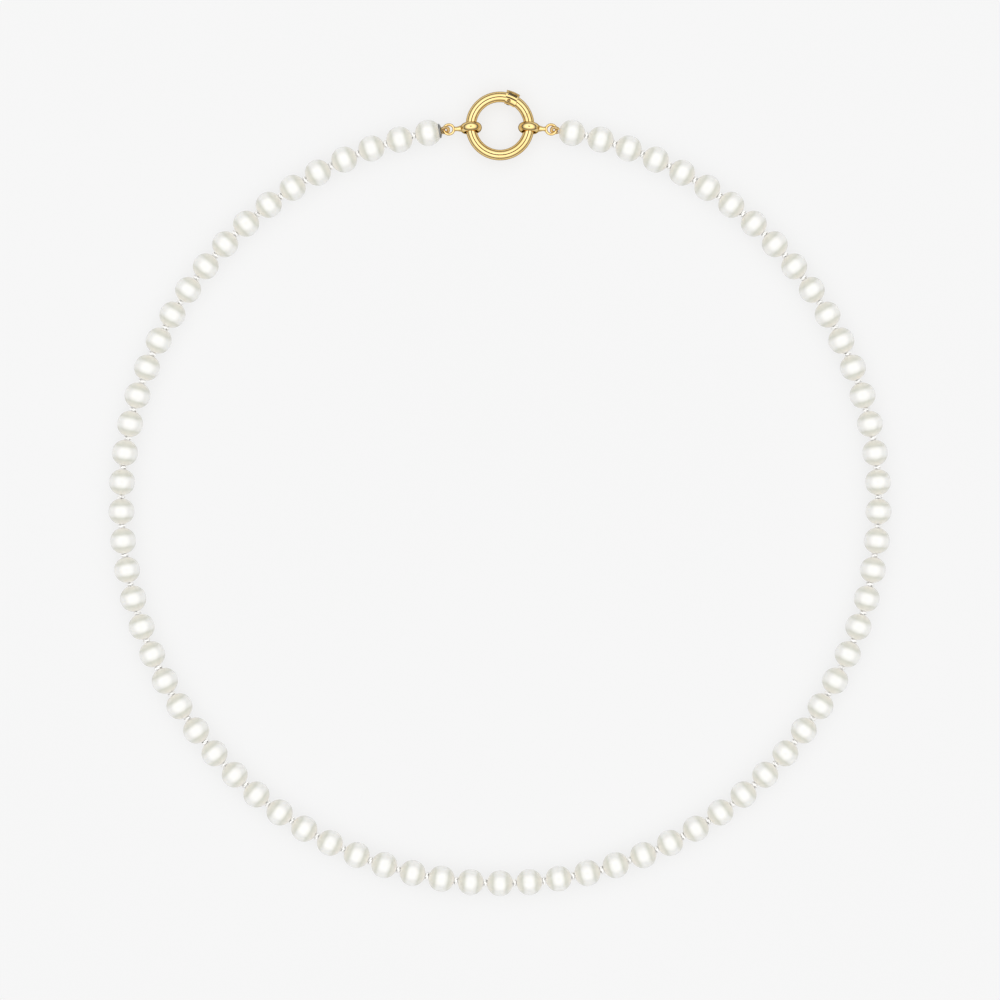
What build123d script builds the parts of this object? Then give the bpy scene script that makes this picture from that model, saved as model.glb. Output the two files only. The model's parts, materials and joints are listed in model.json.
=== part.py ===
from build123d import *
import os
from math import asin, cos, degrees, pi, radians, sin, sqrt

# A knotted pearl necklace laid flat in a ring. The loop's centre is the origin, on the
# surface that the pearls rest on. +Y points to the clasp and +Z is up.
# Lengths are in millimetres and angles in degrees.

# Strand
NECKLACE_LENGTH = 450.0  # round the closed loop, through the pearls' centres
PEARL_COUNT = 77
PEARL_RADIUS = 2.5
DRILL_RADIUS = 0.4
PEARLS_PER_PIECE = 2
THREAD_RADIUS = 0.2
KNOT_RADIUS = 0.75
KNOT_HALF_WIDTH = 0.26

# End pearls, where the thread leaves as a loop
MOUTH_RADIUS = 0.72  # widened end of the drilled hole
MOUTH_DEPTH = 0.57
LOOP_THREAD_RADIUS = 0.15
STEM_RADIUS = 0.18  # thread between the end pearl's middle and the loop
STEM_OVERLAP = 0.1
GIMP_RADIUS = 0.27
GIMP_BORE = 0.19
LOOP_HEIGHT = 0.68  # from the loop's middle line to either leg
LOOP_ROLL = 38.0
LOOP_INNER_REACH = 0.10  # the leg inside the eyelet, out from the eyelet's centre
LOOP_OUTER_REACH = 0.95  # where the legs turn down to the pearl
LOOP_JOIN = 2.0  # where the two legs meet, inside the end pearl
GIMP_START = 0.63  # share of the sloping leg, from the join, that is left bare
LOOP_START = 0.27  # the legs of thread part at this share of the slope
END_KNOT_RADIUS = 0.3  # knot in the end pearl's mouth, where the legs meet
END_KNOT_REACH = 1.83
CAP_RADIUS = 1.38
CAP_THICKNESS = 0.18
CAP_GAP = 0.03

# Clasp ring
RING_RADIUS = 5.5  # to the middle of its round wire
WIRE_RADIUS = 1.0
GATE_END_REACH = 4.36  # hinge pin to the gate's free end
GATE_END_GAP = 0.04
PIN_ANGLE = 19.5  # clockwise from the top
PIN_REACH = 5.0  # ring's centre to the pin
PIN_RADIUS = 0.3
PIN_HALF_LENGTH = 1.0
PIN_CLEARANCE = 0.02
KNUCKLE_RADIUS = 1.35  # fat part of the wire round the hinge
KNUCKLE_CENTRE = 5.6
KNUCKLE_HALF_HEIGHT = 1.15
KNUCKLE_START = 11.0
KNUCKLE_END = 40.0
KNUCKLE_FRONT = 1.5  # the cheeks end on a circle about the pin
GATE_ROOT = 1.55  # the gate's full wire starts on this circle about the pin
TONGUE_HALF_HEIGHT = 0.34
TONGUE_RADIUS = 0.8
TONGUE_OUTER = 6.0
SLOT_HALF_HEIGHT = 0.36
SLOT_RADIUS = 1.7
HEEL_START = 8.0
HEEL_INNER = 5.1
STOP_RADIUS = 5.07  # the closed gate's heel rests on this step
STOP_END = 10.2
RECESS_START = 14.0  # pocket over the heel, open to the top
RECESS_END = 32.0
RECESS_INNER = 6.05
RECESS_OUTER = 6.72
RECESS_DEPTH = 0.6  # below the ring's mid plane
CHEEK_FRONT = 33.5  # the knuckle's outer side ends here
CHEEK_FRONT_INNER = 5.6
GATE_FRONT_GAP = 0.4  # degrees
SPRING_INNER = 6.1
SPRING_THICKNESS = 0.15
SPRING_HALF_HEIGHT = 0.29
SPRING_START = 3.6
SPRING_END = 20.0
POCKET_CLEARANCE = 0.02

# Bails and eyelets
EYELET_REACH = 9.7  # ring's centre to an eyelet's centre
EYELET_TO_PEARL = 3.99
EYELET_RADIUS = 0.95  # to the middle of its wire
EYELET_WIRE_RADIUS = 0.25
BAIL_BORE = 1.3
BAIL_HALF_WIDTH = 0.85
BAIL_EDGE = 1.5  # outer radius at the band's edges
BAIL_CROWN = 2.05  # outer radius at the middle of its dome
BAIL_TILT = 13.0
NECK_START = 7.2
NECK_WAIST = 8.15
NECK_END = 8.62
NECK_RADII = (0.68, 0.42, 0.5)

loop_radius = NECKLACE_LENGTH / (2 * pi)


def angle_of_chord(chord):
    """Angle at the loop's centre under a chord of the loop."""
    return 2 * degrees(asin(chord / (2 * loop_radius)))


eyelet_angle = angle_of_chord(EYELET_REACH)
end_angle = eyelet_angle + angle_of_chord(EYELET_TO_PEARL)
pitch = (360 - 2 * end_angle) / (PEARL_COUNT - 1)
pieces_per_side = (PEARL_COUNT - 1) // (2 * PEARLS_PER_PIECE)


def on_loop(angle):
    """Point on the strand's circle, clockwise from the clasp."""
    across = loop_radius * sin(radians(angle))
    along = loop_radius * cos(radians(angle))
    return Vector(across, along, PEARL_RADIUS)


def along_loop(angle):
    """Clockwise direction of the strand at that angle."""
    return Vector(cos(radians(angle)), -sin(radians(angle)), 0)


ring_centre = on_loop(0)
eyelet_centre = on_loop(eyelet_angle)
end_pearl_centre = on_loop(end_angle)
RING_PLANE = Plane(origin=ring_centre)
RING_AXIS = Axis(ring_centre, (0, 0, -1))  # turns clockwise, as the clasp's angles do


def on_ring(angle, reach):
    """Local point of the ring's plane, clockwise from the top."""
    return (reach * sin(radians(angle)), reach * cos(radians(angle)))


def ring_section(angle):
    """Radial plane of the ring: local X points outward and local Y up."""
    outward = Vector(*on_ring(angle, 1))
    return Plane(origin=ring_centre, x_dir=outward, z_dir=outward.cross(Vector(0, 0, 1)))


def sector(inner, outer, start, end):
    """Ring-shaped sector of the ring's plane, as a sketch."""
    middle = (start + end) / 2
    with BuildSketch() as shape:
        with BuildLine():
            arc_out = ThreePointArc(
                on_ring(start, outer), on_ring(middle, outer), on_ring(end, outer)
            )
            arc_in = ThreePointArc(
                on_ring(start, inner), on_ring(middle, inner), on_ring(end, inner)
            )
            Line(arc_out @ 0, arc_in @ 0)
            Line(arc_out @ 1, arc_in @ 1)
        make_face()
    return shape.sketch


def save(piece, name):
    """Label a finished piece and write its STEP file."""
    piece.part.label = name
    export_step(piece.part, f"parts/{name}.step")


def save_mirrored(piece, name):
    """Write the left-hand twin of a right-hand piece."""
    with BuildPart() as twin:
        mirror(piece.part, about=Plane.YZ)
    save(twin, name)


os.makedirs("parts", exist_ok=True)

# ---------------------------------------------------------------- pearls
# A ball with a drilled hole along local Y, turned in one go.
hole_half_length = sqrt(PEARL_RADIUS**2 - DRILL_RADIUS**2)
with BuildPart() as pearl:
    with BuildSketch(Plane.XY):
        with BuildLine():
            ThreePointArc(
                (DRILL_RADIUS, -hole_half_length),
                (PEARL_RADIUS, 0),
                (DRILL_RADIUS, hole_half_length),
            )
            Line((DRILL_RADIUS, hole_half_length), (DRILL_RADIUS, -hole_half_length))
        make_face()
    revolve(axis=Axis.Y)

# The end pearls' holes widen towards the clasp.
mouth_face = sqrt(PEARL_RADIUS**2 - MOUTH_RADIUS**2)
with BuildPart() as end_pearl:
    add(pearl.part)
    with BuildSketch(Plane.XY):
        with BuildLine():
            Polyline(
                (0, mouth_face - MOUTH_DEPTH),
                (DRILL_RADIUS, mouth_face - MOUTH_DEPTH),
                (MOUTH_RADIUS, mouth_face),
                (MOUTH_RADIUS, PEARL_RADIUS),
                (0, PEARL_RADIUS),
                close=True,
            )
        make_face()
    revolve(axis=Axis.Y, mode=Mode.SUBTRACT)

with BuildPart(Plane.XY.offset(PEARL_RADIUS)) as pearl_bottom:
    with PolarLocations(loop_radius, 1, start_angle=-90):
        add(pearl.part)
save(pearl_bottom, "pearl_bottom")

last_pearl = PEARLS_PER_PIECE * pieces_per_side
for piece in range(pieces_per_side):
    with BuildPart(Plane.XY.offset(PEARL_RADIUS)) as pearl_piece:
        for place in range(PEARLS_PER_PIECE):
            number = piece * PEARLS_PER_PIECE + place + 1
            with PolarLocations(loop_radius, 1, start_angle=number * pitch - 90):
                add(end_pearl.part if number == last_pearl else pearl.part)
    save(pearl_piece, f"pearls_right_{piece + 1:02d}")
    save_mirrored(pearl_piece, f"pearls_left_{piece + 1:02d}")

# ---------------------------------------------------------------- silk and gimp
# Plane of the right-hand loop: local X runs from the eyelet to its end pearl, and the
# plane is rolled about that line, so that both legs show side by side from above.
to_pearl = (end_pearl_centre - eyelet_centre).normalized()
level_side = to_pearl.cross(Vector(0, 0, 1))
LOOP_PLANE = Plane(
    origin=eyelet_centre,
    x_dir=to_pearl,
    z_dir=level_side * cos(radians(LOOP_ROLL)) + Vector(0, 0, sin(radians(LOOP_ROLL))),
)
leg_bends = [
    (LOOP_OUTER_REACH, LOOP_HEIGHT),
    (LOOP_INNER_REACH, LOOP_HEIGHT),
    (LOOP_INNER_REACH, -LOOP_HEIGHT),
    (LOOP_OUTER_REACH, -LOOP_HEIGHT),
]
BEND_RADII = [0.4, 0.45, 0.45, 0.4]


def leg_point(share, side):
    """Point on a sloping leg, from the join (0) to its bend (1)."""
    reach = LOOP_JOIN + share * (LOOP_OUTER_REACH - LOOP_JOIN)
    return (reach, side * share * LOOP_HEIGHT)


def across_leg(share):
    """Plane square to the upper sloping leg."""
    slope = (LOOP_OUTER_REACH - LOOP_JOIN, LOOP_HEIGHT)
    start = LOOP_PLANE.from_local_coords(leg_point(share, 1))
    along = LOOP_PLANE.from_local_coords(slope) - eyelet_centre
    return Plane(origin=start, z_dir=along)


# A knot is a rounded disc across the thread, with its axis along local Y.
knot_flat = KNOT_RADIUS - KNOT_HALF_WIDTH
with BuildPart() as knot:
    with BuildSketch(Plane.XY):
        with BuildLine():
            Polyline(
                (knot_flat, -KNOT_HALF_WIDTH),
                (0, -KNOT_HALF_WIDTH),
                (0, KNOT_HALF_WIDTH),
                (knot_flat, KNOT_HALF_WIDTH),
            )
            ThreePointArc(
                (knot_flat, KNOT_HALF_WIDTH),
                (KNOT_RADIUS, 0),
                (knot_flat, -KNOT_HALF_WIDTH),
            )
        make_face()
    revolve(axis=Axis.Y)

# The loop of thread at the right-hand end, with its stem inside the end pearl.
with BuildPart() as thread_loop:
    with BuildLine(LOOP_PLANE) as loop_path:
        FilletPolyline(
            leg_point(LOOP_START, 1), *leg_bends, leg_point(LOOP_START, -1), radius=BEND_RADII
        )
    with BuildSketch(across_leg(LOOP_START)):
        Circle(LOOP_THREAD_RADIUS)
    sweep(path=loop_path.wires()[0])
    with BuildSketch(Plane(origin=end_pearl_centre, z_dir=-to_pearl).offset(-STEM_OVERLAP)):
        Circle(STEM_RADIUS)
    extrude(amount=EYELET_TO_PEARL - END_KNOT_REACH + STEM_OVERLAP)
    with Locations(eyelet_centre + to_pearl * END_KNOT_REACH):
        Sphere(END_KNOT_RADIUS)

thread_arc = 360 - 2 * end_angle
with BuildPart(Plane.XY.offset(PEARL_RADIUS)) as silk_thread:
    with BuildSketch(Plane(origin=end_pearl_centre, z_dir=along_loop(end_angle))):
        Circle(THREAD_RADIUS)
    revolve(axis=Axis((0, 0, 0), (0, 0, -1)), revolution_arc=thread_arc)
    with PolarLocations(
        loop_radius,
        PEARL_COUNT - 1,
        start_angle=end_angle + 90 + pitch / 2,
        angular_range=thread_arc - pitch,
        endpoint=True,
    ):
        add(knot.part)
with BuildPart() as whole_thread:
    add(silk_thread.part)
    add(thread_loop.part)
    mirror(thread_loop.part, about=Plane.YZ)
save(whole_thread, "silk_thread")

with BuildPart() as gimp_tube:
    with BuildLine(LOOP_PLANE) as gimp_path:
        FilletPolyline(
            leg_point(GIMP_START, 1), *leg_bends, leg_point(GIMP_START, -1), radius=BEND_RADII
        )
    with BuildSketch(across_leg(GIMP_START)):
        Circle(GIMP_RADIUS)
        Circle(GIMP_BORE, mode=Mode.SUBTRACT)
    sweep(path=gimp_path.wires()[0])
# The two gimps are mirror images of each other.
with BuildPart() as gimp_left:
    mirror(gimp_tube.part, about=Plane.YZ)
save(gimp_left, "gimp_left")
save_mirrored(gimp_left, "gimp_right")

# A thin domed cap on the end pearl, open in the middle for the gimp.
cap_inside = PEARL_RADIUS + CAP_GAP
cap_outside = cap_inside + CAP_THICKNESS
CAP_PLANE = Plane(
    origin=end_pearl_centre, x_dir=(0, 0, 1), z_dir=Vector(0, 0, 1).cross(-to_pearl)
)


def on_cap(radius, reach):
    """Point of the cap's profile: radius from its axis, on a ball of that reach."""
    return (radius, sqrt(reach**2 - radius**2))


cap_middle = (MOUTH_RADIUS + CAP_RADIUS) / 2
with BuildPart() as bead_cap:
    with BuildSketch(CAP_PLANE):
        with BuildLine():
            inner = ThreePointArc(
                on_cap(MOUTH_RADIUS, cap_inside),
                on_cap(cap_middle, cap_inside),
                on_cap(CAP_RADIUS, cap_inside),
            )
            outer = ThreePointArc(
                on_cap(MOUTH_RADIUS, cap_outside),
                on_cap(cap_middle, cap_outside),
                on_cap(CAP_RADIUS, cap_outside),
            )
            Line(inner @ 0, outer @ 0)
            Line(inner @ 1, outer @ 1)
        make_face()
    revolve(axis=Axis(end_pearl_centre, -to_pearl))
save_mirrored(bead_cap, "bead_cap_left")

# ---------------------------------------------------------------- clasp ring and gate
pin_place = on_ring(PIN_ANGLE, PIN_REACH)


def outer_cheek(front):
    """Plan of the knuckle's outer side, past the pin, up to that angle."""
    return sector(CHEEK_FRONT_INNER, KNUCKLE_CENTRE + 2 * KNUCKLE_RADIUS, PIN_ANGLE, front)


with BuildPart() as pin_hole:
    with BuildSketch(RING_PLANE.offset(-KNUCKLE_RADIUS)):
        with Locations(pin_place):
            Circle(PIN_RADIUS + PIN_CLEARANCE)
    extrude(amount=2 * KNUCKLE_RADIUS)

with BuildPart() as clasp_ring:
    with BuildSketch(ring_section(0)):
        with Locations((RING_RADIUS, 0)):
            Circle(WIRE_RADIUS)
    revolve(axis=RING_AXIS)
    # knuckle round the hinge, flat on top and underneath
    with BuildSketch(ring_section(KNUCKLE_START)):
        with Locations((KNUCKLE_CENTRE, 0)):
            Circle(KNUCKLE_RADIUS)
            Rectangle(4 * KNUCKLE_RADIUS, 2 * KNUCKLE_HALF_HEIGHT, mode=Mode.INTERSECT)
    revolve(axis=RING_AXIS, revolution_arc=KNUCKLE_END - KNUCKLE_START)
    # the gate's way: everything between its root and its free end, past the pin
    with BuildSketch(RING_PLANE.offset(-2 * WIRE_RADIUS)):
        with Locations(Pos(*pin_place) * Rot(0, 0, -PIN_ANGLE)):
            Circle(GATE_END_REACH + GATE_END_GAP)
            Circle(KNUCKLE_FRONT, mode=Mode.SUBTRACT)
            Rectangle(
                2 * RING_RADIUS, 4 * RING_RADIUS, align=(Align.MIN, Align.CENTER), mode=Mode.INTERSECT
            )
        add(outer_cheek(CHEEK_FRONT), mode=Mode.SUBTRACT)
    extrude(amount=4 * WIRE_RADIUS, mode=Mode.SUBTRACT)
    # slot for the gate's tongue, with a step that stops its heel
    with BuildSketch(RING_PLANE.offset(-SLOT_HALF_HEIGHT)):
        with Locations(pin_place):
            Circle(SLOT_RADIUS)
        add(sector(STOP_RADIUS - SLOT_RADIUS, STOP_RADIUS, 0, STOP_END), mode=Mode.SUBTRACT)
    extrude(amount=2 * SLOT_HALF_HEIGHT, mode=Mode.SUBTRACT)
    # pocket over the spring, open to the top
    with BuildSketch(RING_PLANE.offset(-RECESS_DEPTH)):
        add(sector(RECESS_INNER, RECESS_OUTER, RECESS_START, RECESS_END))
    extrude(amount=RECESS_DEPTH + KNUCKLE_RADIUS, mode=Mode.SUBTRACT)
    # pocket that holds the spring's fixed end
    with BuildSketch(RING_PLANE.offset(-SPRING_HALF_HEIGHT - POCKET_CLEARANCE)):
        add(
            sector(
                SPRING_INNER - POCKET_CLEARANCE,
                SPRING_INNER + SPRING_THICKNESS + POCKET_CLEARANCE,
                SPRING_START - POCKET_CLEARANCE,
                RECESS_START + 1,
            )
        )
    extrude(amount=2 * (SPRING_HALF_HEIGHT + POCKET_CLEARANCE), mode=Mode.SUBTRACT)
    add(pin_hole.part, mode=Mode.SUBTRACT)
save(clasp_ring, "clasp_ring")

with BuildPart() as clasp_gate:
    with BuildSketch(ring_section(PIN_ANGLE)):
        with Locations((RING_RADIUS, 0)):
            Circle(WIRE_RADIUS)
    revolve(axis=RING_AXIS, revolution_arc=90)
    # both ends are round about the pin, so that the gate swings past the ring
    with BuildSketch(RING_PLANE.offset(-2 * WIRE_RADIUS)):
        with Locations(pin_place):
            Circle(GATE_END_REACH)
            Circle(GATE_ROOT, mode=Mode.SUBTRACT)
        add(outer_cheek(CHEEK_FRONT + GATE_FRONT_GAP), mode=Mode.SUBTRACT)
    extrude(amount=4 * WIRE_RADIUS, mode=Mode.INTERSECT)
    # tongue on the pin, with the heel behind it
    with BuildSketch(RING_PLANE.offset(-TONGUE_HALF_HEIGHT)):
        with Locations(pin_place):
            Circle(TONGUE_RADIUS)
        add(sector(RING_RADIUS - TONGUE_RADIUS, TONGUE_OUTER, PIN_ANGLE, KNUCKLE_END))
        add(sector(HEEL_INNER, TONGUE_OUTER, HEEL_START, PIN_ANGLE))
    extrude(amount=2 * TONGUE_HALF_HEIGHT)
    add(pin_hole.part, mode=Mode.SUBTRACT)
save(clasp_gate, "clasp_gate")

with BuildPart() as gate_hinge_pin:
    with BuildSketch(RING_PLANE.offset(-PIN_HALF_LENGTH)):
        with Locations(pin_place):
            Circle(PIN_RADIUS)
    extrude(amount=2 * PIN_HALF_LENGTH)
    chamfer(gate_hinge_pin.edges().filter_by(GeomType.CIRCLE), length=PIN_RADIUS / 5)
save(gate_hinge_pin, "gate_hinge_pin")

with BuildPart() as gate_leaf_spring:
    with BuildSketch(RING_PLANE.offset(-SPRING_HALF_HEIGHT)):
        add(sector(SPRING_INNER, SPRING_INNER + SPRING_THICKNESS, SPRING_START, SPRING_END))
    extrude(amount=2 * SPRING_HALF_HEIGHT)
save(gate_leaf_spring, "gate_leaf_spring")

# ---------------------------------------------------------------- bails and eyelets
outward = Vector(*(eyelet_centre - ring_centre)).normalized()
clockwise = outward.cross(Vector(0, 0, 1))
# A bail leans about its outward line, so its underside shows towards the loop's middle.
bail_axis = clockwise * cos(radians(BAIL_TILT)) + Vector(0, 0, sin(radians(BAIL_TILT)))
bail_up = Vector(0, 0, cos(radians(BAIL_TILT))) - clockwise * sin(radians(BAIL_TILT))
bail_centre = ring_centre + outward * RING_RADIUS

with BuildPart() as eyelet_right:
    with BuildSketch(Plane(origin=eyelet_centre, x_dir=outward, z_dir=bail_axis)):
        with Locations((EYELET_RADIUS, 0)):
            Circle(EYELET_WIRE_RADIUS)
    revolve(axis=Axis(eyelet_centre, bail_up))
save(eyelet_right, "eyelet_right")
save_mirrored(eyelet_right, "eyelet_left")

with BuildPart() as bail_right:
    # the band: flat inside and domed outside
    with BuildSketch(Plane(origin=bail_centre, x_dir=outward, z_dir=bail_up)):
        with BuildLine():
            Polyline(
                (BAIL_EDGE, -BAIL_HALF_WIDTH),
                (BAIL_BORE, -BAIL_HALF_WIDTH),
                (BAIL_BORE, BAIL_HALF_WIDTH),
                (BAIL_EDGE, BAIL_HALF_WIDTH),
            )
            ThreePointArc(
                (BAIL_EDGE, BAIL_HALF_WIDTH), (BAIL_CROWN, 0), (BAIL_EDGE, -BAIL_HALF_WIDTH)
            )
        make_face()
    revolve(axis=Axis(bail_centre, bail_axis))
    # the waisted neck out to the eyelet
    with BuildSketch(Plane(origin=ring_centre, x_dir=outward, z_dir=bail_axis)):
        with BuildLine():
            waist = Spline(
                (NECK_START, NECK_RADII[0]), (NECK_WAIST, NECK_RADII[1]), (NECK_END, NECK_RADII[2])
            )
            Polyline(waist @ 0, (NECK_START, 0), (NECK_END, 0), waist @ 1)
        make_face()
    revolve(axis=Axis(ring_centre, outward))
    add(eyelet_right.part, mode=Mode.SUBTRACT)
save(bail_right, "bail_right")
save_mirrored(bail_right, "bail_left")
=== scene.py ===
import json
import random
from math import acos, asin, atan2, ceil, cos, pi, radians, sin

import bmesh
import bpy
from mathutils import Matrix, Vector, noise


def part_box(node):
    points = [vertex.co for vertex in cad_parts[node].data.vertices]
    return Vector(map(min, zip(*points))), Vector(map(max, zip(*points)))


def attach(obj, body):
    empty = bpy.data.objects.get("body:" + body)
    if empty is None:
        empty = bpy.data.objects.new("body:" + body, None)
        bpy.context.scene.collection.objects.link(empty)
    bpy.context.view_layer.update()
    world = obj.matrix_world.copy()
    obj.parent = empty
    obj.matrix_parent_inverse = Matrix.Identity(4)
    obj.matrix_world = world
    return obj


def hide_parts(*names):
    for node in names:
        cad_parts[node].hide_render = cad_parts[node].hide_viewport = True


# A knotted pearl necklace with a sprung ring clasp, laid in a circle on a pale table.
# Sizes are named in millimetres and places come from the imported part's joints and boxes.
MM = 0.001
RIGHT = Vector((1, 0, 0))
BACK = Vector((0, 1, 0))
UP = Vector((0, 0, 1))

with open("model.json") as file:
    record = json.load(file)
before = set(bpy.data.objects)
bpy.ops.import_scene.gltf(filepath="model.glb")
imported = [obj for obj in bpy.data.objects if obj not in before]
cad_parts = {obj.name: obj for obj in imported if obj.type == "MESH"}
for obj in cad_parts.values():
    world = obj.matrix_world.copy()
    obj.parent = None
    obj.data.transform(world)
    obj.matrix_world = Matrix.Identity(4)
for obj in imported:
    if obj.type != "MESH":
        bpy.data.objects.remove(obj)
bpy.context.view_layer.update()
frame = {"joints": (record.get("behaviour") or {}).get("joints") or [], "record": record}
joints = {joint["name"]: joint for joint in frame["joints"]}
body_of_node = {
    node: body
    for body, nodes in frame["record"]["behaviour"]["bodies"].items()
    for node in nodes
}


def joint_place(name):
    """A joint's place in millimetres."""
    return Vector(joints[name]["pos_m"]) / MM


def node_size(name):
    """A CAD node's width, depth and height in millimetres."""
    low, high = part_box(name)
    return (high - low) / MM


# ---------------------------------------------------------------- sizes
RING_CENTRE = joint_place("ring_spin")
LOOP_RADIUS = RING_CENTRE.y
PEARL_RADIUS = node_size("pearl_bottom").z / 2
EYELET_CENTRE = joint_place("eyelet_right_turn")
PIN_CENTRE = joint_place("gate_swing")
FIRST_KNOT = joint_place("flex_right_1")
PEARLS_PER_SIDE = 38
PEARLS_PER_NODE = 2
PITCH = 2 * atan2(FIRST_KNOT.x, -FIRST_KNOT.y)  # angle between neighbouring pearls
BOTTOM_SEED = 1  # every pearl and knot has its own seed
PEARL_SEEDS = 100  # between one side's pearls and the other's
KNOT_SEEDS = 200

PEARL_SEGMENTS = 64
HOLE_RADIUS = 0.36
HOLE_ROUNDING = 0.1
HOLE_ROWS = (0.8, 0.4, 0, -0.4, -0.8)  # rows of points in the hole, as shares of its length
PEARL_SHRINK = (0.0, 0.012)  # how much smaller than the largest a pearl may be
PEARL_OVAL = (0.0, 0.012)
PEARL_BUMPS = 0.004
PEARL_BUMP_SCALE = 0.9
SHIFT_RANGE = (0, 50)  # moves each pearl to its own part of the noise

THREAD_RADIUS = 0.2
THREAD_STEPS = 6  # to one pitch
KNOT_MIDDLE = 0.45  # from the thread's line to the middle of the knot's winding
KNOT_SPREAD = 0.2
KNOT_DEPTH = 0.14
KNOT_STRAND = 0.19
KNOT_SIZES = (0.9, 1.0)
KNOT_POINTS = 72
KNOT_TURNS = 2  # times round the thread
KNOT_LOBES = 3  # times in and out on the way

RING_RADIUS = 5.5
WIRE_RADIUS = 1.0
PIN_REACH = (PIN_CENTRE - RING_CENTRE).length
PIN_ANGLE = atan2(PIN_CENTRE.x, PIN_CENTRE.y - RING_CENTRE.y)
PIN_RADIUS = 0.3
PIN_ROOM = 0.03  # round the pin in the knuckle
PIN_SIDES = 40
GATE_END = 4.36  # from the pin to the gate's free end
RING_END = 4.40  # from the pin to the ring's end that the gate meets
RING_STEPS = 220
GATE_STEPS = 48
GATE_ROOT = 1.55
CHEEK_INNER = 5.6
CHEEK_FRONT = radians(33.5)
GATE_FRONT = radians(33.9)
KNUCKLE_RADIUS = 1.35
KNUCKLE_CENTRE = 5.6
KNUCKLE_HALF_HEIGHT = 1.15
KNUCKLE_START = radians(11.0)
KNUCKLE_END = radians(40.0)
KNUCKLE_FRONT = 1.5
WIRE_HIDDEN_END = radians(14.0)
TONGUE_HALF_HEIGHT = 0.34
TONGUE_RADIUS = 0.8
TONGUE_REACHES = (4.7, 6.0)
TONGUE_ROOM = 0.02  # round the pin in the tongue
SLOT_HALF_HEIGHT = 0.36
SLOT_RADIUS = 1.7
SLOT_ANGLES = (radians(12.0), radians(60.0))
INSIDE_WIRE = 2.0  # reach that is inside all of the ring's wire
BEYOND_WIRE = 9.0  # reach that is outside all of it
CUT_HEIGHTS = (-2.0, 2.0)  # right through the clasp
SOFT_VOXEL = 0.035
SOFT_ROUNDS = 5
POCKET_REACHES = (6.05, 6.72)
POCKET_ANGLES = (radians(14.0), radians(32.0))
POCKET_DEPTH = 0.6
SPRING_REACHES = (6.1, 6.25)
SPRING_ANGLES = (radians(3.6), radians(20.0))
SPRING_HALF_HEIGHT = 0.29
WIRE_CREASE = radians(40)  # edges sharper than this stay sharp
PLATE_CREASE = radians(30)
BAIL_CREASE = radians(50)

EYELET_RADIUS = 0.95
EYELET_WIRE_RADIUS = 0.25
BAIL_BORE = 1.3
BAIL_HALF_WIDTH = 0.85
BAIL_EDGE = 1.5
BAIL_CROWN = 2.05
BAIL_SOFTENING = 0.06
BAIL_TILT = radians(13.0)
NECK_REACHES = (7.2, 7.7, 8.15, 8.45, 8.62)
NECK_RADII = (0.68, 0.53, 0.42, 0.43, 0.5)

LOOP_ROLL = radians(38.0)
LOOP_HEIGHT = 0.68
LOOP_INNER_REACH = 0.10
LOOP_OUTER_REACH = 0.95
LOOP_JOIN = 2.0
BEND_RADIUS = 0.42
GIMP_HELIX = 0.24
GIMP_WIRE_RADIUS = 0.07
GIMP_TURN = 0.155
GIMP_POINTS = 14  # to one turn
GIMP_START = 0.60  # share of the sloping leg, from the join, that the coil leaves bare
CORE_RADIUS = 0.13
CORE_START = 0.2
CORE_STEP = 0.08
STEM_REACHES = (1.75, 2.6, 3.9)
CAP_RADIUS = 1.38
CAP_HOLE = 0.72
CAP_GAP = 0.03
CAP_THICKNESS = 0.18


# ---------------------------------------------------------------- meshes
def merge(*shapes):
    """One list of points and faces from several."""
    points, faces = [], []
    for shape_points, shape_faces in shapes:
        start = len(points)
        points += shape_points
        faces += [[start + i for i in face] for face in shape_faces]
    return points, faces


def place(shape, origin, x, y, z):
    """A shape moved from its own axes to the given ones."""
    points, faces = shape
    return [origin + p.x * x + p.y * y + p.z * z for p in points], faces


def grid_faces(rows, columns, close_rows, close_columns):
    """Quads over rows of points, each row as long as the next."""
    faces = []
    for i in range(rows if close_rows else rows - 1):
        for j in range(columns if close_columns else columns - 1):
            k = (i + 1) % rows
            m = (j + 1) % columns
            faces.append([i * columns + j, i * columns + m, k * columns + m, k * columns + j])
    return faces


def closed_tube_faces(rows, columns):
    """Quads along rows of points, with a flat face on the first row and on the last."""
    faces = grid_faces(rows, columns, False, True)
    faces.append(list(range(columns))[::-1])
    last = (rows - 1) * columns
    faces.append(list(range(last, last + columns)))
    return faces


def lathe(profile, segments):
    """A closed profile of (radius, height) turned about local Z."""
    points = []
    for radius, height in profile:
        for k in range(segments):
            turn = 2 * pi * k / segments
            points.append(Vector((radius * cos(turn), radius * sin(turn), height)))
    return points, grid_faces(len(profile), segments, True, True)


def solid_lathe(profile, segments):
    """An open profile of (radius, height), closed by a flat face at either end."""
    points, _ = lathe(profile, segments)
    return points, closed_tube_faces(len(profile), segments)


def arc(centre, radius, start, end, steps):
    """Points of an arc as (x, y) pairs."""
    turns = [start + (end - start) * k / steps for k in range(steps + 1)]
    return [(centre[0] + radius * cos(t), centre[1] + radius * sin(t)) for t in turns]


def across(line, closed):
    """For each point of a line, its direction and two square directions that don't twist."""
    count = len(line)
    frames = []
    side = None
    for i in range(count):
        before = line[i - 1] if closed or i else line[0]
        after = line[(i + 1) % count] if closed or i < count - 1 else line[-1]
        ahead = (after - before).normalized()
        if side is None:
            side = ahead.orthogonal().normalized()
        side = (side - ahead * side.dot(ahead)).normalized()
        frames.append((ahead, side, ahead.cross(side)))
    return frames


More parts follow.
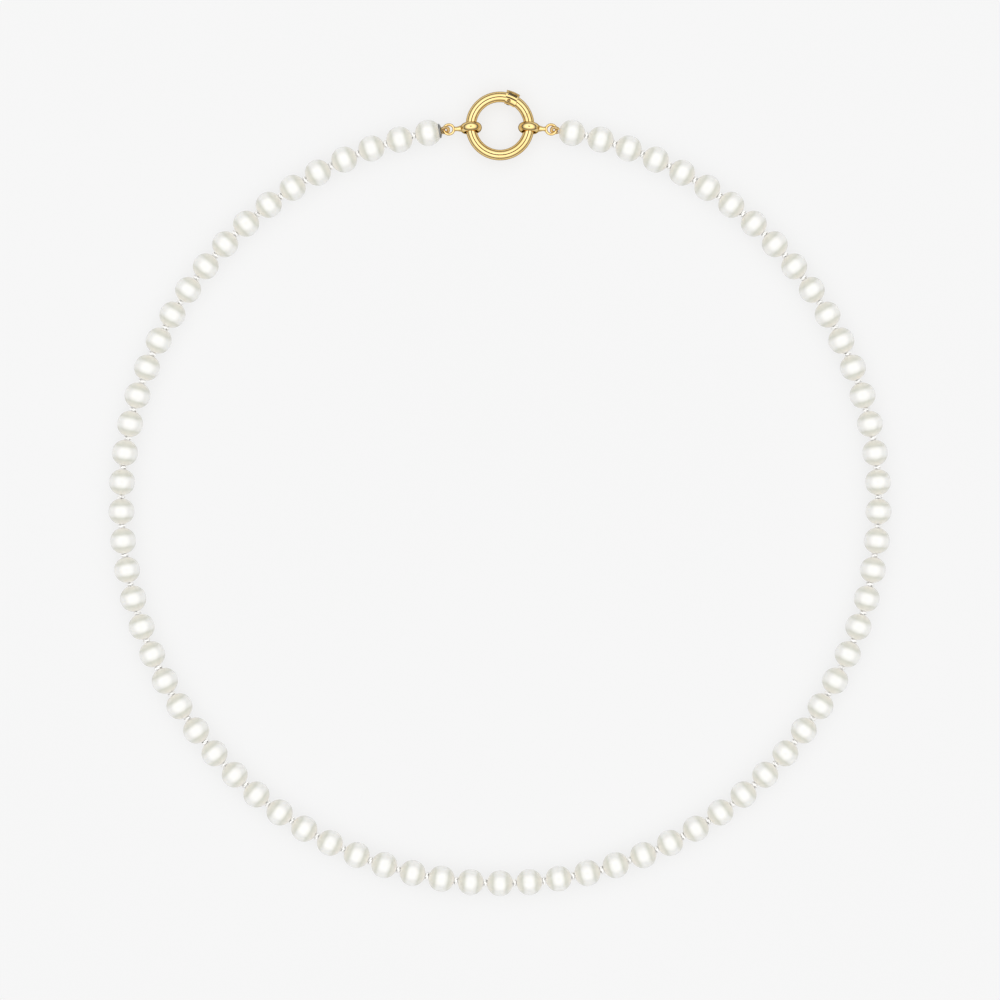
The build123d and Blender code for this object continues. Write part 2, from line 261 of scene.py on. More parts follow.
def tube(line, radius, sides=12, closed=False):
    """A round tube along a line of points."""
    points = []
    for centre, (ahead, side, other) in zip(line, across(line, closed)):
        for k in range(sides):
            turn = 2 * pi * k / sides
            points.append(centre + radius * (cos(turn) * side + sin(turn) * other))
    if closed:
        return points, grid_faces(len(line), sides, True, True)
    return points, closed_tube_faces(len(line), sides)


def rounded(corners, radius, step):
    """A line through corners that are rounded, with points at most a step apart."""
    line = [corners[0]]
    for before, corner, after in zip(corners, corners[1:], corners[2:]):
        into = (corner - before).normalized()
        out = (after - corner).normalized()
        turn = into.angle(out)
        cut = radius * sin(turn / 2) / cos(turn / 2)
        start = corner - into * cut
        centre = start + (out - into * into.dot(out)).normalized() * radius
        steps = ceil(radius * turn / step)
        for k in range(steps + 1):
            share = turn * k / steps
            inward = (start - centre) * cos(share) + into * radius * sin(share)
            line.append(centre + inward)
    line.append(corners[-1])
    return even_line(line, step)


def even_line(line, step):
    """The same line with points at even steps."""
    lengths = [0.0]
    for a, b in zip(line, line[1:]):
        lengths.append(lengths[-1] + (b - a).length)
    count = ceil(lengths[-1] / step)
    even = []
    i = 0
    for k in range(count + 1):
        wanted = lengths[-1] * k / count
        while i < len(line) - 2 and lengths[i + 1] < wanted:
            i += 1
        share = (wanted - lengths[i]) / (lengths[i + 1] - lengths[i])
        even.append(line[i].lerp(line[i + 1], share))
    return even


def helix_round(line, radius, turn_length):
    """A line wound round another one."""
    wound = []
    length = 0.0
    frames = across(line, False)
    for i, (centre, (ahead, side, other)) in enumerate(zip(line, frames)):
        if i:
            length += (line[i] - line[i - 1]).length
        turn = 2 * pi * length / turn_length
        wound.append(centre + radius * (cos(turn) * side + sin(turn) * other))
    return wound


def extruded(outline, low, high):
    """A flat outline of (x, y) pairs made into a plate."""
    count = len(outline)
    points = [Vector((x, y, z)) for z in (low, high) for x, y in outline]
    faces = [list(range(count))[::-1], list(range(count, 2 * count))]
    faces += [[i, (i + 1) % count, count + (i + 1) % count, count + i] for i in range(count)]
    return points, faces


def object_from(name, shape):
    """An object from a closed shape in millimetres, with its faces pointing outward."""
    points, faces = shape
    mesh = bpy.data.meshes.new(name)
    mesh.from_pydata([p * MM for p in points], [], faces)
    turned = bmesh.new()
    turned.from_mesh(mesh)
    bmesh.ops.recalc_face_normals(turned, faces=turned.faces)
    turned.to_mesh(mesh)
    turned.free()
    piece = bpy.data.objects.new(name, mesh)
    bpy.context.scene.collection.objects.link(piece)
    return piece


def make(name, shape, body, nodes, material, crease=None):
    """A visible piece that rides on a body and stands for nodes."""
    finish(object_from(name, shape), body, nodes, material, crease)


def finish(piece, body, nodes, material, crease=None):
    """Material, smooth shading, and the piece's place in the frame."""
    piece.data.materials.clear()
    piece.data.materials.append(material)
    piece.data.shade_smooth()
    if crease:
        piece.data.set_sharp_from_angle(angle=crease)
    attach(piece, body)
    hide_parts(*nodes)


# ---------------------------------------------------------------- materials
# painted highlight and shade: colour zones from a pearl's middle to its drilled ends, a pale
# middle belt as a painted highlight, a darker band as painted shade and paler ends as painted
# reflection
NACRE_PAINTED_LIGHT_AND_SHADE_ZONES = (
    (0.28, (0.87, 0.865, 0.835)),
    (0.44, (0.81, 0.805, 0.76)),
    (0.60, (0.68, 0.68, 0.60)),
    (0.82, (0.78, 0.76, 0.68)),
    (1.0, (0.87, 0.84, 0.77)),
)
NACRE_CLOUDING = 0.16
SILK_TONES = ((0.0, (0.93, 0.925, 0.91)), (1.0, (0.98, 0.98, 0.975)))
GOLD_TONES = ((0.3, (0.84, 0.60, 0.25)), (0.7, (0.89, 0.67, 0.32)))
GOLD_EDGE = (0.10, 0.05, 0.015, 1)  # its reflection at a grazing angle
# dark grey of the left end cap: painted shade beside the last left pearl
CAP_PAINTED_SHADE_TONES = ((0.20, 0.205, 0.20), (0.32, 0.325, 0.32))
STEEL_TONES = ((0.28, 0.28, 0.29), (0.4, 0.4, 0.41))
TABLE_TONES = ((0.3, (0.178, 0.178, 0.178)), (0.7, (0.182, 0.182, 0.182)))
TABLE_GLOW = 0.72


class Shader:
    """A Principled material with short calls to add and join nodes."""

    def __init__(self, name):
        self.material = bpy.data.materials.new(name)
        self.material.use_nodes = True
        self.tree = self.material.node_tree
        self.principled = self.tree.nodes["Principled BSDF"]

    def node(self, kind, **values):
        """A new node, with values for its inputs or its settings."""
        made = self.tree.nodes.new(kind)
        for key, value in values.items():
            if key in made.inputs:
                made.inputs[key].default_value = value
            else:
                setattr(made, key, value)
        return made

    def join(self, output, target):
        self.tree.links.new(output, target)

    def set(self, **values):
        """Values on the shader's own sockets."""
        for key, value in values.items():
            self.principled.inputs[key.replace("_", " ")].default_value = value

    def noise(self, scale, detail=3.0, stretch=(1, 1, 1)):
        """Noise fixed to the object."""
        place_node = self.node("ShaderNodeTexCoord")
        mapping = self.node("ShaderNodeMapping", Scale=stretch)
        texture = self.node("ShaderNodeTexNoise", Scale=scale, Detail=detail)
        self.join(place_node.outputs["Object"], mapping.inputs["Vector"])
        self.join(mapping.outputs["Vector"], texture.inputs["Vector"])
        return texture.outputs["Fac"]

    def ramp(self, value, *stops):
        """Colours at the given shares of a value."""
        ramp = self.node("ShaderNodeValToRGB")
        elements = ramp.color_ramp.elements
        while len(elements) < len(stops):
            elements.new(0.5)
        for element, (share, colour) in zip(elements, stops):
            element.position = share
            element.color = (*colour, 1)
        self.join(value, ramp.inputs["Fac"])
        return ramp.outputs["Color"]

    def span(self, value, low, high):
        """A value from 0 to 1 spread between two others."""
        spread = self.node("ShaderNodeMapRange")
        spread.inputs["To Min"].default_value = low
        spread.inputs["To Max"].default_value = high
        self.join(value, spread.inputs["Value"])
        return spread.outputs["Result"]

    def bump(self, value, strength, distance):
        """Small bumps that follow a value, with the distance in metres."""
        bump = self.node("ShaderNodeBump", Strength=strength, Distance=distance)
        self.join(value, bump.inputs["Height"])
        self.join(bump.outputs["Normal"], self.principled.inputs["Normal"])


def nacre():
    """Cream nacre with a soft lustre, its colour painted in zones along the drilled hole: a
    pale middle belt as a painted highlight, a darker band as painted shade, paler drilled
    ends as painted reflection.
    """
    shader = Shader("nacre")
    where = shader.node("ShaderNodeTexCoord")
    split = shader.node("ShaderNodeSeparateXYZ")
    shader.join(where.outputs["Object"], split.inputs["Vector"])
    # distance from the pearl's middle along the drilled hole, as a share of its radius
    distance = shader.node("ShaderNodeMath", operation="ABSOLUTE")
    shader.join(split.outputs["Z"], distance.inputs[0])
    share = shader.node("ShaderNodeMath", operation="DIVIDE")
    share.inputs[1].default_value = PEARL_RADIUS * MM
    shader.join(distance.outputs["Value"], share.inputs[0])
    clouded = shader.node("ShaderNodeMath", operation="MULTIPLY_ADD")
    clouded.inputs[1].default_value = NACRE_CLOUDING
    shader.join(shader.noise(scale=700.0, detail=2.0), clouded.inputs[0])
    shader.join(share.outputs["Value"], clouded.inputs[2])
    # painted highlight and shade: these colour zones stand in for the overhead light's
    # highlight and the shade beside it
    painted_light_and_shade_zones = shader.ramp(clouded.outputs["Value"], *NACRE_PAINTED_LIGHT_AND_SHADE_ZONES)
    shader.join(painted_light_and_shade_zones, shader.principled.inputs["Base Color"])
    shader.set(IOR=1.6, Coat_Weight=0.7, Coat_Roughness=0.13, Coat_IOR=1.6)
    shader.set(Subsurface_Weight=0.12, Subsurface_Scale=0.0006)
    shader.set(Subsurface_Radius=(1.0, 0.9, 0.75))
    lustre = shader.span(shader.noise(scale=1500.0, detail=3.0), low=0.28, high=0.40)
    shader.join(lustre, shader.principled.inputs["Roughness"])
    shader.bump(shader.noise(scale=2600.0, detail=2.0), strength=0.08, distance=0.00004)
    return shader.material


def silk():
    """Off-white twisted silk."""
    shader = Shader("silk")
    where = shader.node("ShaderNodeTexCoord")
    twist = shader.node("ShaderNodeTexWave", Scale=1300.0, Distortion=2.5, Detail=2.0)
    twist.bands_direction = "DIAGONAL"
    shader.join(where.outputs["Object"], twist.inputs["Vector"])
    colour = shader.ramp(twist.outputs["Fac"], *SILK_TONES)
    shader.join(colour, shader.principled.inputs["Base Color"])
    shader.set(Sheen_Weight=0.3, Sheen_Roughness=0.4)
    matt = shader.span(shader.noise(scale=3000.0), low=0.5, high=0.75)
    shader.join(matt, shader.principled.inputs["Roughness"])
    shader.bump(twist.outputs["Fac"], strength=0.5, distance=0.00004)
    return shader.material


def gold(name, roughness, grain):
    """Polished yellow gold with faint polishing marks."""
    shader = Shader(name)
    tone = shader.ramp(shader.noise(scale=350.0, detail=2.0), *GOLD_TONES)
    shader.join(tone, shader.principled.inputs["Base Color"])
    shader.set(Metallic=1.0, Specular_Tint=GOLD_EDGE)
    marks = shader.noise(scale=1800.0, detail=4.0, stretch=(1, 1, 3))
    polish = shader.span(marks, low=roughness * 0.7, high=roughness * 1.4)
    shader.join(polish, shader.principled.inputs["Roughness"])
    shader.bump(shader.noise(scale=900.0, detail=3.0), strength=grain, distance=0.00005)
    return shader.material


def metal(name, dark, light, roughness):
    """Satin grey metal with fine brush marks."""
    shader = Shader(name)
    marks = shader.noise(scale=2500.0, detail=4.0, stretch=(1, 8, 1))
    tone = shader.ramp(marks, (0.3, dark), (0.7, light))
    shader.join(tone, shader.principled.inputs["Base Color"])
    shader.set(Metallic=1.0)
    satin = shader.span(marks, low=roughness * 0.8, high=roughness * 1.3)
    shader.join(satin, shader.principled.inputs["Roughness"])
    shader.bump(marks, strength=0.15, distance=0.00003)
    return shader.material


def table_top():
    """Matt pale light table with a very faint mottle."""
    shader = Shader("table_top")
    tone = shader.ramp(shader.noise(scale=12.0, detail=3.0), *TABLE_TONES)
    shader.join(tone, shader.principled.inputs["Base Color"])
    shader.set(Roughness=0.9, Specular_IOR_Level=0.0)
    shader.set(Emission_Color=(1, 1, 1, 1), Emission_Strength=TABLE_GLOW)
    return shader.material


NACRE = nacre()
SILK = silk()
GOLD = gold("polished_gold", roughness=0.09, grain=0.05)
COIL_GOLD = gold("coil_gold", roughness=0.2, grain=0.1)
# the left cap's dark grey metal is painted shade, not the cap's own tone
CAP_PAINTED_SHADE_METAL = metal("cap_painted_shade_metal", *CAP_PAINTED_SHADE_TONES, roughness=0.35)
SPRING_STEEL = metal("spring_steel", *STEEL_TONES, roughness=0.3)


# ---------------------------------------------------------------- strand
def on_loop(angle, side):
    """Point on the strand's circle, at an angle from the bottom towards one side."""
    return Vector((side * LOOP_RADIUS * sin(angle), -LOOP_RADIUS * cos(angle), PEARL_RADIUS))


def along_loop(angle, side):
    """Direction of the strand there, away from the bottom."""
    return Vector((side * cos(angle), sin(angle), 0))


def pearl_profile():
    """Closed outline of a drilled pearl as (radius, height), with rounded hole edges."""
    edge = asin((HOLE_RADIUS + HOLE_ROUNDING) / PEARL_RADIUS)
    ball = arc((0, 0), PEARL_RADIUS, -pi / 2 + edge, pi / 2 - edge, 44)
    rim_height = PEARL_RADIUS * cos(edge) - HOLE_ROUNDING
    top = arc((HOLE_RADIUS + HOLE_ROUNDING, rim_height), HOLE_ROUNDING, pi / 2, pi, 4)[1:]
    bottom = [(radius, -height) for radius, height in reversed(top)]
    wall = [(HOLE_RADIUS, rim_height * share) for share in HOLE_ROWS]
    return ball + top + wall + bottom


PEARL_SHAPE = lathe(pearl_profile(), PEARL_SEGMENTS)


def make_pearl(name, angle, side, body, node, seed):
    """One pearl, a little out of round, turned at random about its thread."""
    choice = random.Random(seed)
    size = 1 - choice.uniform(*PEARL_SHRINK)
    oval = 1 - choice.uniform(*PEARL_OVAL)
    shift = Vector([choice.uniform(*SHIFT_RANGE) for _ in range(3)])
    turned = Matrix.Rotation(choice.uniform(0, 2 * pi), 3, "Z")
    points, faces = PEARL_SHAPE
    shaped = []
    for p in points:
        bumps = 0.5 + 0.5 * noise.noise(p * PEARL_BUMP_SCALE + shift)
        bump = size * (1 - PEARL_BUMPS * bumps)
        shaped.append(turned @ Vector((p.x * oval * bump, p.y * bump, p.z * bump)))
    piece = object_from(name, (shaped, faces))
    ahead = along_loop(angle, side)
    axes = Matrix((ahead.cross(UP), UP, ahead)).transposed()
    centre = on_loop(angle, side) - UP * (PEARL_RADIUS * (1 - size))
    piece.matrix_world = Matrix.Translation(centre * MM) @ axes.to_4x4()
    finish(piece, body, [node], NACRE)


def knot_shape(seed):
    """A small tight knot about local Z."""
    choice = random.Random(seed)
    start = choice.uniform(0, 2 * pi)
    size = choice.uniform(*KNOT_SIZES)
    line = []
    for k in range(KNOT_POINTS):
        turn = 2 * pi * k / KNOT_POINTS
        around = KNOT_TURNS * turn + start
        reach = size * (KNOT_MIDDLE + KNOT_SPREAD * cos(KNOT_LOBES * turn))
        height = KNOT_DEPTH * sin(KNOT_LOBES * turn)
        line.append(Vector((reach * cos(around), reach * sin(around), height)))
    return tube(line, KNOT_STRAND * size, sides=10, closed=True)


def thread_line(start, end, side):
    """Points of the thread between two angles of the loop."""
    steps = ceil((end - start) / (PITCH / THREAD_STEPS))
    return [on_loop(start + (end - start) * k / steps, side) for k in range(steps + 1)]


def make_strand():
    """Pearls, thread and knots, each on its own section of the strand."""
    make_pearl("pearl_bottom_skin", 0, 1, "strand_middle", "pearl_bottom", BOTTOM_SEED)
    middle = tube(thread_line(-PITCH / 2, PITCH / 2, 1), THREAD_RADIUS)
    make("silk_middle", middle, "strand_middle", ["silk_thread"], SILK)
    for side, side_name in ((-1, "left"), (1, "right")):
        sections = {}
        for number in range(1, PEARLS_PER_SIDE + 1):
            node = f"pearls_{side_name}_{ceil(number / PEARLS_PER_NODE):02d}"
            body = body_of_node[node]
            name = f"pearl_{side_name}_{number:02d}"
            seed = number + PEARL_SEEDS * (side + 2)
            make_pearl(name, number * PITCH, side, body, node, seed)
            sections.setdefault(body, []).append(number)
        for body, numbers in sections.items():
            start = (numbers[0] - 0.5) * PITCH
            end = (numbers[-1] + 0.5) * PITCH
            if numbers[-1] == PEARLS_PER_SIDE:
                end = numbers[-1] * PITCH
            shapes = [tube(thread_line(start, end, side), THREAD_RADIUS)]
            for number in numbers:
                angle = (number - 0.5) * PITCH
                ahead = along_loop(angle, side)
                knot = knot_shape(number + KNOT_SEEDS * (side + 2))
                shapes.append(place(knot, on_loop(angle, side), ahead.cross(UP), UP, ahead))
            name = body.replace("strand", "silk")
            make(name, merge(*shapes), body, ["silk_thread"], SILK)


# ---------------------------------------------------------------- clasp
def on_ring(angle, reach, height=0.0):
    """Point of the ring, clockwise from its top, seen from above."""
    return RING_CENTRE + Vector((reach * sin(angle), reach * cos(angle), height))


def angle_at(reach, from_pin):
    """Angle past the pin where a circle about the pin meets a reach of the ring."""
    share = (reach**2 + PIN_REACH**2 - from_pin**2) / (2 * reach * PIN_REACH)
    return PIN_ANGLE + acos(max(-1, min(1, share)))


def swept_wire(start_at, end_at, steps, sides=48):
    """Round wire along the ring. Its ends may lean: each gives an angle for a reach."""
    points = []
    for i in range(steps + 1):
        share = i / steps
        for k in range(sides):
            turn = 2 * pi * k / sides
            reach = RING_RADIUS + WIRE_RADIUS * cos(turn)
            angle = start_at(reach) * (1 - share) + end_at(reach) * share
            points.append(on_ring(angle, reach, WIRE_RADIUS * sin(turn)))
    return points, closed_tube_faces(steps + 1, sides)


def sector(reaches, angles, low, high, steps=24):
    """Plate shaped as a sector of the ring's plane."""
    turns = [angles[0] + (angles[1] - angles[0]) * k / steps for k in range(steps + 1)]
    outline = [(reaches[1] * sin(t), reaches[1] * cos(t)) for t in reversed(turns)]
    outline += [(reaches[0] * sin(t), reaches[0] * cos(t)) for t in turns]
    plate = extruded(outline, low, high)
    return place(plate, RING_CENTRE, RIGHT, BACK, UP)


def pin_disc(radius, low, high, steps=72):
    """Upright disc about the pin."""
    circle = arc((0, 0), radius, 0, 2 * pi * (1 - 1 / steps), steps - 1)
    return place(extruded(circle, low, high), PIN_CENTRE, RIGHT, BACK, UP)


def combine(base, operation, other):
    """Cuts, joins or keeps the common part of two objects. The other one is used up."""
    change = base.modifiers.new("combine", "BOOLEAN")
    change.operation = operation
    change.solver = "EXACT"
    change.object = other
    apply_modifiers(base)
    bpy.data.objects.remove(other)


def carve(base, operation, shape):
    """The same with a base and a shape."""
    combine(base, operation, object_from("cutter", shape))


def apply_modifiers(piece):
    """Turns a piece's modifiers into its mesh."""
    shown = piece.evaluated_get(bpy.context.evaluated_depsgraph_get())
    mesh = bpy.data.meshes.new_from_object(shown)
    piece.modifiers.clear()
    piece.data = mesh


def soften(piece, voxel, rounds):
    """Rounds every edge of a small piece."""
    remesh = piece.modifiers.new("remesh", "REMESH")
    remesh.mode = "VOXEL"
    remesh.voxel_size = voxel * MM
    smooth = piece.modifiers.new("smooth", "SMOOTH")
    smooth.factor = 0.5
    smooth.iterations = rounds
    apply_modifiers(piece)


def knuckle_body(steps=48, sides=64):
    """The knuckle before anything is cut from it, oval in section."""
    points = []
    for i in range(steps + 1):
        angle = KNUCKLE_START + (KNUCKLE_END - KNUCKLE_START) * i / steps
        for k in range(sides):
            turn = 2 * pi * k / sides
            reach = KNUCKLE_CENTRE + KNUCKLE_RADIUS * cos(turn)
            points.append(on_ring(angle, reach, KNUCKLE_HALF_HEIGHT * sin(turn)))
    return points, closed_tube_faces(steps + 1, sides)


def knuckle():
    """The fat, forked part of the ring that holds the hinge pin."""
    piece = object_from("clasp_knuckle", knuckle_body())
    # the inner side ends on a circle about the pin, the outer side at a set angle
    outside = object_from("cheek", knuckle_body())
    cheeks = sector((CHEEK_INNER, BEYOND_WIRE), (0.0, CHEEK_FRONT), *CUT_HEIGHTS)
    carve(outside, "INTERSECT", cheeks)
    carve(piece, "INTERSECT", pin_disc(KNUCKLE_FRONT, *CUT_HEIGHTS))
    combine(piece, "UNION", outside)
    carve(piece, "DIFFERENCE", pin_slot())
    pocket = sector(POCKET_REACHES, POCKET_ANGLES, -POCKET_DEPTH, 2 * KNUCKLE_RADIUS)
    carve(piece, "DIFFERENCE", pocket)
    carve(piece, "DIFFERENCE", pin_disc(PIN_RADIUS + PIN_ROOM, *CUT_HEIGHTS, PIN_SIDES))
    soften(piece, SOFT_VOXEL, SOFT_ROUNDS)
    return piece


def pin_slot():
    """Room for the gate's tongue between the knuckle's cheeks."""
    heights = (-SLOT_HALF_HEIGHT, SLOT_HALF_HEIGHT)
    room = object_from("room", pin_disc(SLOT_RADIUS, *heights))
    carve(room, "INTERSECT", sector((INSIDE_WIRE, BEYOND_WIRE), SLOT_ANGLES, *heights))
    points = [v.co / MM for v in room.data.vertices]
    faces = [list(face.vertices) for face in room.data.polygons]
    bpy.data.objects.remove(room)
    return points, faces


def make_clasp_ring():
    """The ring's wire, its knuckle, and the hinge pin and spring inside it."""

    def start(reach):
        return angle_at(reach, RING_END)

    def end(reach):
        return 2 * pi + WIRE_HIDDEN_END

    wire = swept_wire(start, end, RING_STEPS)
    make("clasp_ring_wire", wire, "clasp_ring", ["clasp_ring"], GOLD, WIRE_CREASE)
    finish(knuckle(), "clasp_ring", ["clasp_ring"], GOLD)
    half = node_size("gate_hinge_pin").z / 2
    chamfer = PIN_RADIUS / 5
    profile = [
        (PIN_RADIUS - chamfer, -half),
        (PIN_RADIUS, chamfer - half),
        (PIN_RADIUS, half - chamfer),
        (PIN_RADIUS - chamfer, half),
    ]
    pin = place(solid_lathe(profile, PIN_SIDES), PIN_CENTRE, RIGHT, BACK, UP)
    make("hinge_pin", pin, "clasp_ring", ["gate_hinge_pin"], COIL_GOLD, PLATE_CREASE)
    leaf = sector(SPRING_REACHES, SPRING_ANGLES, -SPRING_HALF_HEIGHT, SPRING_HALF_HEIGHT)
    nodes = ["gate_leaf_spring"]
    make("leaf_spring", leaf, "clasp_ring", nodes, SPRING_STEEL, PLATE_CREASE)


def make_gate():
    """The gate's wire and the tongue that the pin goes through."""

    def root(reach):
        return max(angle_at(reach, GATE_ROOT), GATE_FRONT)

    def tip(reach):
        return angle_at(reach, GATE_END)

    wire = swept_wire(root, tip, GATE_STEPS)
    make("clasp_gate_wire", wire, "clasp_gate", ["clasp_gate"], GOLD, WIRE_CREASE)
    heights = (-TONGUE_HALF_HEIGHT, TONGUE_HALF_HEIGHT)
    tongue = object_from("clasp_gate_tongue", pin_disc(TONGUE_RADIUS, *heights))
    carve(tongue, "UNION", sector(TONGUE_REACHES, (PIN_ANGLE, KNUCKLE_END), *heights))
    hole = pin_disc(PIN_RADIUS + TONGUE_ROOM, *CUT_HEIGHTS, PIN_SIDES)
    carve(tongue, "DIFFERENCE", hole)
    finish(tongue, "clasp_gate", ["clasp_gate"], GOLD, PLATE_CREASE)


def mirrored(shape, side):
    """A right-hand shape, or its left-hand twin."""
    if side == 1:
        return shape
    points, faces = shape
    return [Vector((-p.x, p.y, p.z)) for p in points], [face[::-1] for face in faces]


def smooth_profile(reaches, radii, steps):
    """Smooth curve of (radius, reach) through the given ones, in cubic pieces."""
    count = len(reaches)
    slopes = []
    for i in range(count):
        a, b = max(i - 1, 0), min(i + 1, count - 1)
        slopes.append((radii[b] - radii[a]) / (reaches[b] - reaches[a]))
    curve = []
    for i in range(count - 1):
        width = reaches[i + 1] - reaches[i]
        for k in range(steps + (i == count - 2)):
            t = k / steps
            left = (1 - t) ** 2
            right = t * t
            start = (1 + 2 * t) * left * radii[i] + t * left * width * slopes[i]
            end = right * (3 - 2 * t) * radii[i + 1] - right * (1 - t) * width * slopes[i + 1]
            curve.append((start + end, reaches[i] + t * width))
    return curve


def bail_profile():
    """Closed section of the bail's band: flat inside, domed outside, with soft edges."""
    rise = BAIL_CROWN - BAIL_EDGE
    dome_radius = (BAIL_HALF_WIDTH**2 + rise**2) / (2 * rise)
    reach = asin(BAIL_HALF_WIDTH / dome_radius)
    dome = arc((BAIL_CROWN - dome_radius, 0), dome_radius, -reach, reach, 32)
    soft = BAIL_SOFTENING
    top = [
        (BAIL_EDGE - soft * 0.4, BAIL_HALF_WIDTH),
        (BAIL_BORE + soft, BAIL_HALF_WIDTH),
        (BAIL_BORE + soft * 0.3, BAIL_HALF_WIDTH - soft * 0.3),
        (BAIL_BORE, BAIL_HALF_WIDTH - soft),
    ]
    bottom = [(radius, -height) for radius, height in reversed(top)]
    inside = [(BAIL_BORE, height) for height in (0.4, 0, -0.4)]
    return dome[1:-1] + top + inside + bottom


def make_bails():
    """Both bails, each with its neck and eyelet."""
    outward = (EYELET_CENTRE - RING_CENTRE).normalized()
    clockwise = outward.cross(UP)
    axis = clockwise * cos(BAIL_TILT) + UP * sin(BAIL_TILT)
    up = UP * cos(BAIL_TILT) - clockwise * sin(BAIL_TILT)
    centre = RING_CENTRE + outward * RING_RADIUS
    band = place(lathe(bail_profile(), 128), centre, outward, axis.cross(outward), axis)
    neck = solid_lathe(smooth_profile(NECK_REACHES, NECK_RADII, 8), 48)
    neck = place(neck, RING_CENTRE, axis, outward.cross(axis), outward)
    section = arc((EYELET_RADIUS, 0), EYELET_WIRE_RADIUS, 0, 2 * pi * 23 / 24, 23)
    eyelet = place(lathe(section, 96), EYELET_CENTRE, outward, up.cross(outward), up)
    for side, name in ((-1, "left"), (1, "right")):
        body = f"bail_{name}"
        for part, shape in (("band", band), ("neck", neck)):
            shape = mirrored(shape, side)
            make(f"{body}_{part}", shape, body, [body], GOLD, BAIL_CREASE)
        ring = mirrored(eyelet, side)
        make(f"eyelet_{name}_wire", ring, body, [f"eyelet_{name}"], GOLD)


def cap_shape():
    """A shallow cup with a hole, over one end of a pearl."""

    def from_axis(radius, ball):
        return pi / 2 - asin(radius / ball)

    inside = PEARL_RADIUS + CAP_GAP
    outside = inside + CAP_THICKNESS
    rim, hole = from_axis(CAP_RADIUS, outside), from_axis(CAP_HOLE, outside)
    outer = arc((0, 0), outside, rim, hole, 16)
    rim, hole = from_axis(CAP_RADIUS, inside), from_axis(CAP_HOLE, inside)
    inner = arc((0, 0), inside, hole, rim, 16)
    return lathe(outer + inner, 72)


def make_thread_ends():
    """The coil of fine wire through each eyelet, the thread in it, and the left end cap,
    whose dark grey is painted shade beside the last pearl.
    """
    end_angle = PEARLS_PER_SIDE * PITCH
    end_pearl = on_loop(end_angle, 1)
    to_pearl = (end_pearl - EYELET_CENTRE).normalized()
    level = to_pearl.cross(UP)
    normal = level * cos(LOOP_ROLL) + UP * sin(LOOP_ROLL)
    raised = normal.cross(to_pearl)
    corners = [
        (LOOP_OUTER_REACH, LOOP_HEIGHT),
        (LOOP_INNER_REACH, LOOP_HEIGHT),
        (LOOP_INNER_REACH, -LOOP_HEIGHT),
        (LOOP_OUTER_REACH, -LOOP_HEIGHT),
    ]

    def leg(share, side):
        reach = LOOP_JOIN + share * (LOOP_OUTER_REACH - LOOP_JOIN)
        return (reach, side * share * LOOP_HEIGHT)

    def loop_line(share, step):
        flat = [leg(share, 1), *corners, leg(share, -1)]
        line = [EYELET_CENTRE + to_pearl * x + raised * y for x, y in flat]
        return rounded(line, BEND_RADIUS, step)

    wound = helix_round(loop_line(GIMP_START, GIMP_TURN / GIMP_POINTS), GIMP_HELIX, GIMP_TURN)
    coil = tube(wound, GIMP_WIRE_RADIUS, sides=8)
    core = tube(loop_line(CORE_START, CORE_STEP), CORE_RADIUS)
    stem = tube([EYELET_CENTRE + to_pearl * reach for reach in STEM_REACHES], THREAD_RADIUS)
    for side, name in ((-1, "left"), (1, "right")):
        body = body_of_node[f"gimp_{name}"]
        nodes = [f"gimp_{name}"]
        make(f"gimp_{name}_coil", mirrored(coil, side), body, nodes, COIL_GOLD)
        ends = mirrored(merge(core, stem), side)
        make(f"silk_end_{name}", ends, body, ["silk_thread"], SILK)
    # a cap part whose dark grey colour is painted shade beside the last left pearl
    cap = place(cap_shape(), end_pearl, level, level.cross(-to_pearl), -to_pearl)
    body = body_of_node["bead_cap_left"]
    make("cap_left", mirrored(cap, -1), body, ["bead_cap_left"], CAP_PAINTED_SHADE_METAL, WIRE_CREASE)


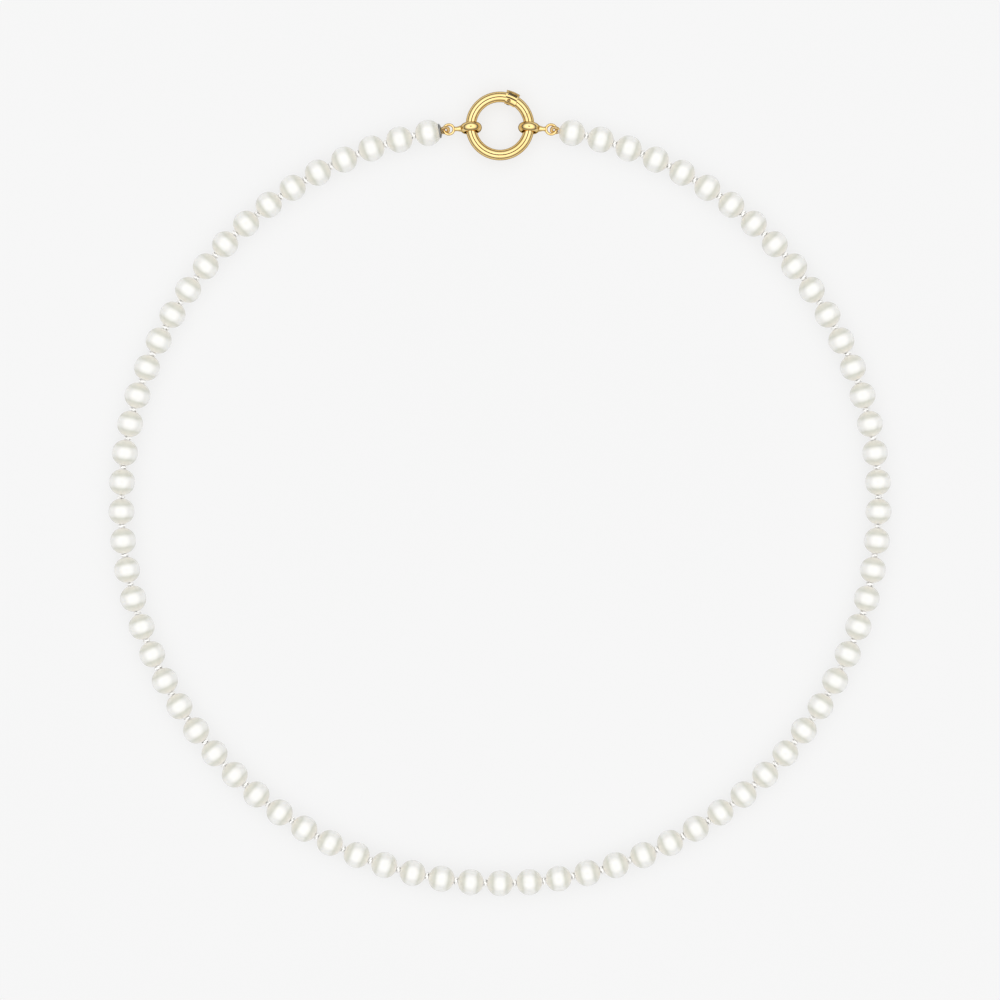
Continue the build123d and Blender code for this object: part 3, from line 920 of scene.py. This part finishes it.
# ---------------------------------------------------------------- studio
CAMERA_HEIGHT = 1.2
PICTURE_HALF_WIDTH = 0.09458  # at the pearls' middle height
PICTURE_CENTRE_Y = 0.00087
DARK_ZENITH = 10.0  # degrees from straight up
ZENITH_FADE = 2
BRIGHT_END = 46
BRIGHT_FADE = 6
LOW_START = 75
LIGHT_ZENITH = 0.12
LIGHT_BAND = 1.6
LIGHT_BAND_EDGE = LIGHT_BAND * 0.75
LIGHT_HORIZON = 0.17
LIGHT_LOW = LIGHT_HORIZON * 1.1
TABLE_SIZE = 6.0


def make_camera():
    """Straight down on the whole necklace."""
    data = bpy.data.cameras.new("camera")
    camera = bpy.data.objects.new("camera", data)
    bpy.context.scene.collection.objects.link(camera)
    camera.location = (0, PICTURE_CENTRE_Y, CAMERA_HEIGHT)
    distance = CAMERA_HEIGHT - PEARL_RADIUS * MM
    data.lens = data.sensor_width / 2 * distance / PICTURE_HALF_WIDTH
    bpy.context.scene.camera = camera


def make_world():
    """A white dome: dark straight overhead, bright round that, dimmer to the horizon."""
    world = bpy.data.worlds.new("studio")
    bpy.context.scene.world = world
    world.use_nodes = True
    tree = world.node_tree
    where = tree.nodes.new("ShaderNodeTexCoord")
    split = tree.nodes.new("ShaderNodeSeparateXYZ")
    tree.links.new(where.outputs["Generated"], split.inputs["Vector"])
    ramp = tree.nodes.new("ShaderNodeValToRGB")
    tree.links.new(split.outputs["Z"], ramp.inputs["Fac"])
    stops = [
        (90, LIGHT_HORIZON),
        (LOW_START, LIGHT_LOW),
        (BRIGHT_END + BRIGHT_FADE, LIGHT_BAND_EDGE),
        (BRIGHT_END - BRIGHT_FADE, LIGHT_BAND),
        (DARK_ZENITH + ZENITH_FADE, LIGHT_BAND),
        (DARK_ZENITH, LIGHT_ZENITH),
    ]
    elements = ramp.color_ramp.elements
    while len(elements) < len(stops):
        elements.new(0.5)
    for element, (from_zenith, level) in zip(elements, stops):
        element.position = cos(radians(from_zenith))
        element.color = (level, level, level, 1)
    tree.links.new(ramp.outputs["Color"], tree.nodes["Background"].inputs["Color"])


def make_table():
    """The pale surface that the necklace lies on."""
    bpy.ops.mesh.primitive_plane_add(size=TABLE_SIZE, location=(0, 0, 0))
    table = bpy.context.object
    table.name = "table"
    table.data.materials.append(table_top())


make_strand()
make_clasp_ring()
make_gate()
make_bails()
make_thread_ends()
make_camera()
make_world()
make_table()
bpy.context.scene.view_settings.view_transform = "Standard"
